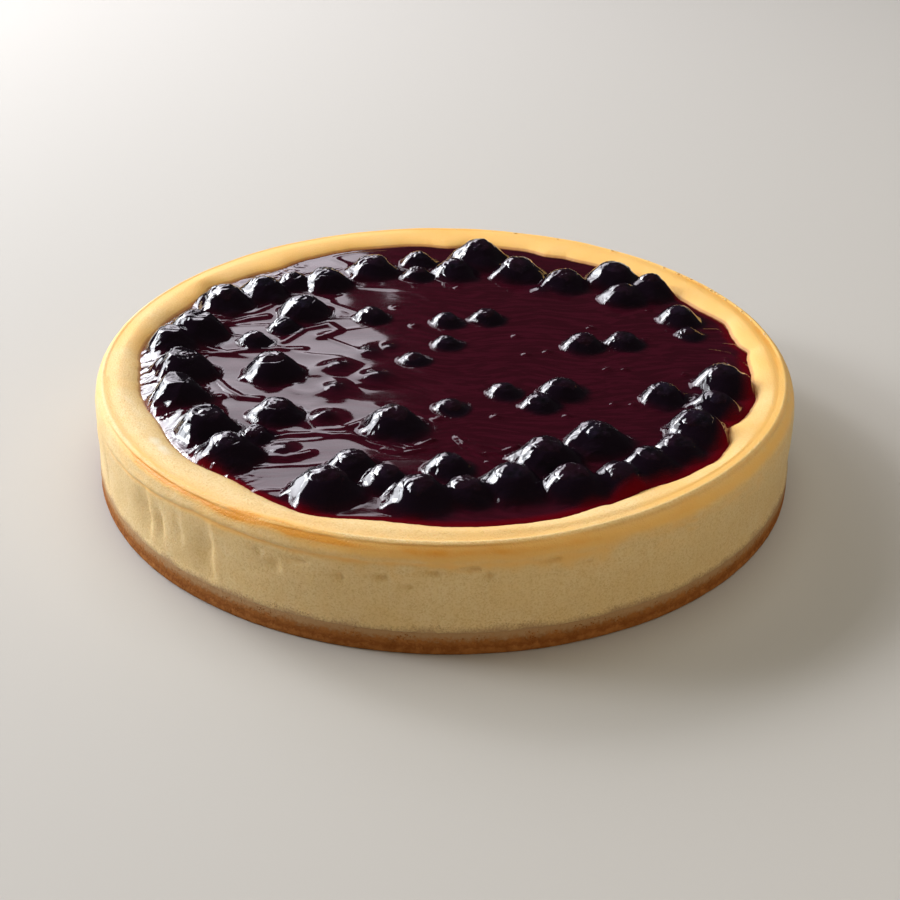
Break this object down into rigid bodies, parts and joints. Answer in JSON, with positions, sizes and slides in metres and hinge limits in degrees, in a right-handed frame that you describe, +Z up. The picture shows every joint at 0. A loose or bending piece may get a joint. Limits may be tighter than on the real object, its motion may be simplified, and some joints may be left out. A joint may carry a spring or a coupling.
{
  "type": "cheesecake",
  "caption": "Round uncut baked cheesecake on a thin crumb base, with a raised rim round a level of dark berry glaze and whole berries standing in it.",
  "frame": {"origin": "centre of the underside of the crumb base, on the surface that the cake stands on", "axes": "+Z up through the cake; -Y is the side that faces the camera in the picture, and +X is to the right of it"},
  "size_m": [0.2306, 0.2306, 0.0408],
  "materials": {
    "crumb": "pressed biscuit crumb, matt golden brown with a darker seam",
    "cheese": "baked cream cheese filling, fine pores, satin, browned towards the rim",
    "glaze": "wet clear dark red berry glaze, very glossy",
    "berry_skin": "wrinkled near-black berry skin under a wet coat"
  },
  "bodies": {
    "root": {"crumb_base": "crumb", "cheese_filling": "cheese", "berry_glaze": "glaze", "berry_01": "berry_skin", "berry_02": "berry_skin", "berry_03": "berry_skin", "berry_04": "berry_skin", "berry_05": "berry_skin", "berry_06": "berry_skin", "berry_07": "berry_skin", "berry_08": "berry_skin", "berry_09": "berry_skin", "berry_10": "berry_skin", "berry_11": "berry_skin", "berry_12": "berry_skin", "berry_13": "berry_skin", "berry_14": "berry_skin", "berry_15": "berry_skin", "berry_16": "berry_skin", "berry_17": "berry_skin", "berry_18": "berry_skin", "berry_19": "berry_skin", "berry_20": "berry_skin", "berry_21": "berry_skin", "berry_22": "berry_skin", "berry_23": "berry_skin", "berry_24": "berry_skin", "berry_25": "berry_skin", "berry_26": "berry_skin", "berry_27": "berry_skin", "berry_28": "berry_skin", "berry_29": "berry_skin", "berry_30": "berry_skin", "berry_31": "berry_skin", "berry_32": "berry_skin", "berry_33": "berry_skin", "berry_34": "berry_skin", "berry_35": "berry_skin", "berry_36": "berry_skin", "berry_37": "berry_skin", "berry_38": "berry_skin", "berry_39": "berry_skin", "berry_40": "berry_skin", "berry_41": "berry_skin", "berry_42": "berry_skin", "berry_43": "berry_skin", "berry_44": "berry_skin", "berry_45": "berry_skin", "berry_46": "berry_skin", "berry_47": "berry_skin", "berry_48": "berry_skin", "berry_49": "berry_skin", "berry_50": "berry_skin", "berry_51": "berry_skin", "berry_52": "berry_skin", "berry_53": "berry_skin", "berry_54": "berry_skin", "berry_55": "berry_skin", "berry_56": "berry_skin", "berry_57": "berry_skin"}
  },
  "joints": []
}
